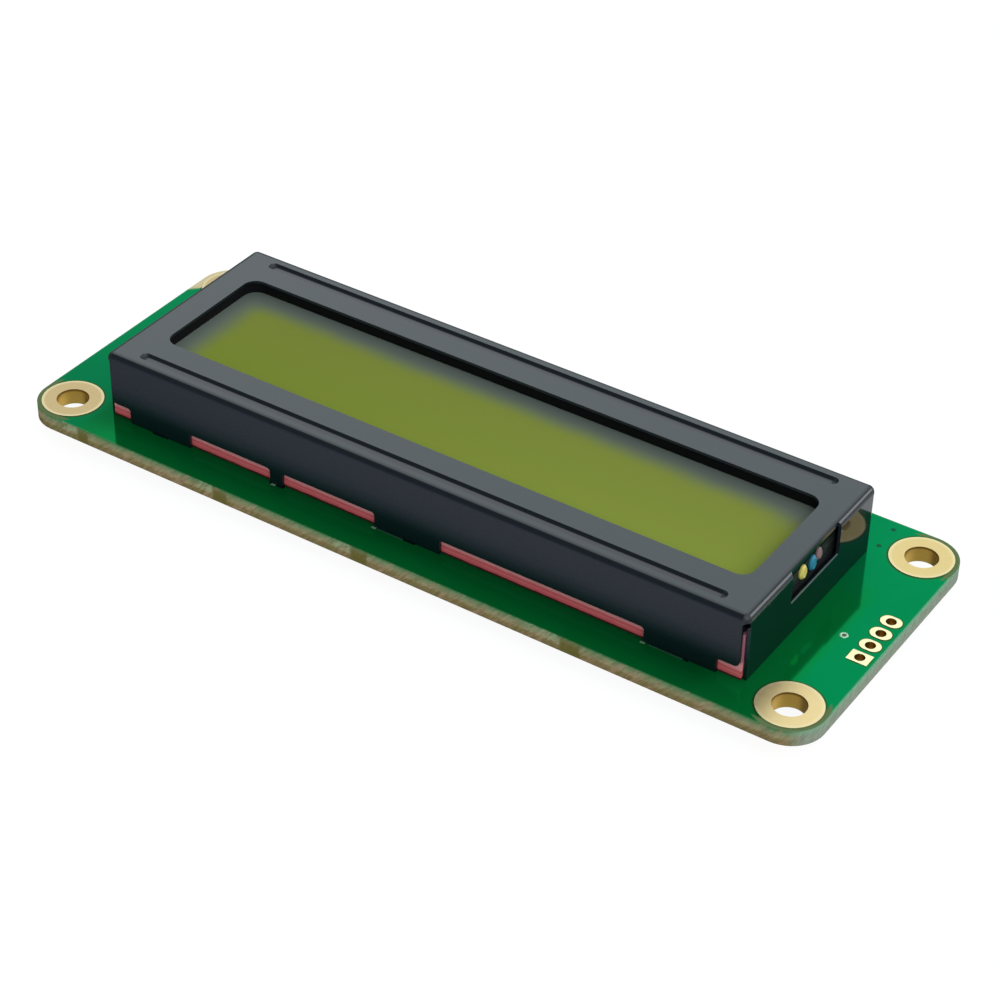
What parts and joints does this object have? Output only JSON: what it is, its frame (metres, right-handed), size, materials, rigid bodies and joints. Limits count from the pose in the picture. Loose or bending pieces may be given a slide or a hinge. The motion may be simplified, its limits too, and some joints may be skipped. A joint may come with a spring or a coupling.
{
  "type": "character lcd module",
  "caption": "Two-line character display module: a green circuit board with plated corner holes and a row of connector holes, carrying a folded black bezel round a yellow-green display.",
  "frame": {"origin": "below the centre of the board and of its mounting-hole pattern, on the surface that the bezel's twisted tabs stand on", "axes": "+X along the length towards the connector holes, +Y across the board away from pin 1, +Z out of the display"},
  "size_m": [0.087, 0.032, 0.0105],
  "materials": {
    "board": "glossy green solder mask over glass-epoxy",
    "gold_plating": "pale satin gold plating",
    "bezel": "glossy black lacquer on steel",
    "gasket": "matt black foam",
    "polariser": "matt anti-glare film",
    "cell_glass": "clear polished glass",
    "sealant": "cured sealant",
    "liquid_crystal": "thin fluid film",
    "rear_polariser": "film with half-mirror",
    "yellow_resin": "glossy cured resin",
    "blue_resin": "glossy cured resin",
    "pink_resin": "glossy cured resin",
    "contact_rubber": "red silicone rubber",
    "black_plastic": "moulded black plastic",
    "white_film": "white film",
    "clear_acrylic": "clear acrylic",
    "white_board": "white solder mask",
    "led_body": "moulded lens",
    "tinned_metal": "tinned",
    "solder": "bright solder",
    "black_resin": "glossy black epoxy",
    "resistor_body": "black glaze with tinned ends",
    "capacitor_body": "tan ceramic with tinned ends",
    "transistor_body": "moulded black plastic"
  },
  "bodies": {
    "root": {"circuit_board": "board", "mounting_pad_front_left": "gold_plating", "mounting_pad_front_right": "gold_plating", "mounting_pad_back_left": "gold_plating", "mounting_pad_back_right": "gold_plating", "header_pad_1": "gold_plating", "header_pad_2": "gold_plating", "header_pad_3": "gold_plating", "header_pad_4": "gold_plating", "bezel": "bezel", "window_gasket": "gasket", "front_polariser": "polariser", "front_glass": "cell_glass", "cell_seal": "sealant", "liquid_crystal_layer": "liquid_crystal", "rear_glass": "cell_glass", "rear_polariser": "rear_polariser", "end_seal_yellow": "yellow_resin", "end_seal_blue": "blue_resin", "end_seal_pink": "pink_resin", "contact_strip_front": "contact_rubber", "contact_strip_back": "contact_rubber", "backlight_frame": "black_plastic", "reflector_film": "white_film", "light_guide": "clear_acrylic", "diffuser_film": "white_film", "led_board": "white_board", "backlight_leds": "led_body", "backlight_pin_1": "tinned_metal", "backlight_pin_2": "tinned_metal", "backlight_joints": "solder", "controller_blob": "black_resin", "driver_blob": "black_resin", "chip_resistors": "resistor_body", "chip_capacitors": "capacitor_body", "backlight_transistor": "transistor_body"}
  },
  "joints": []
}
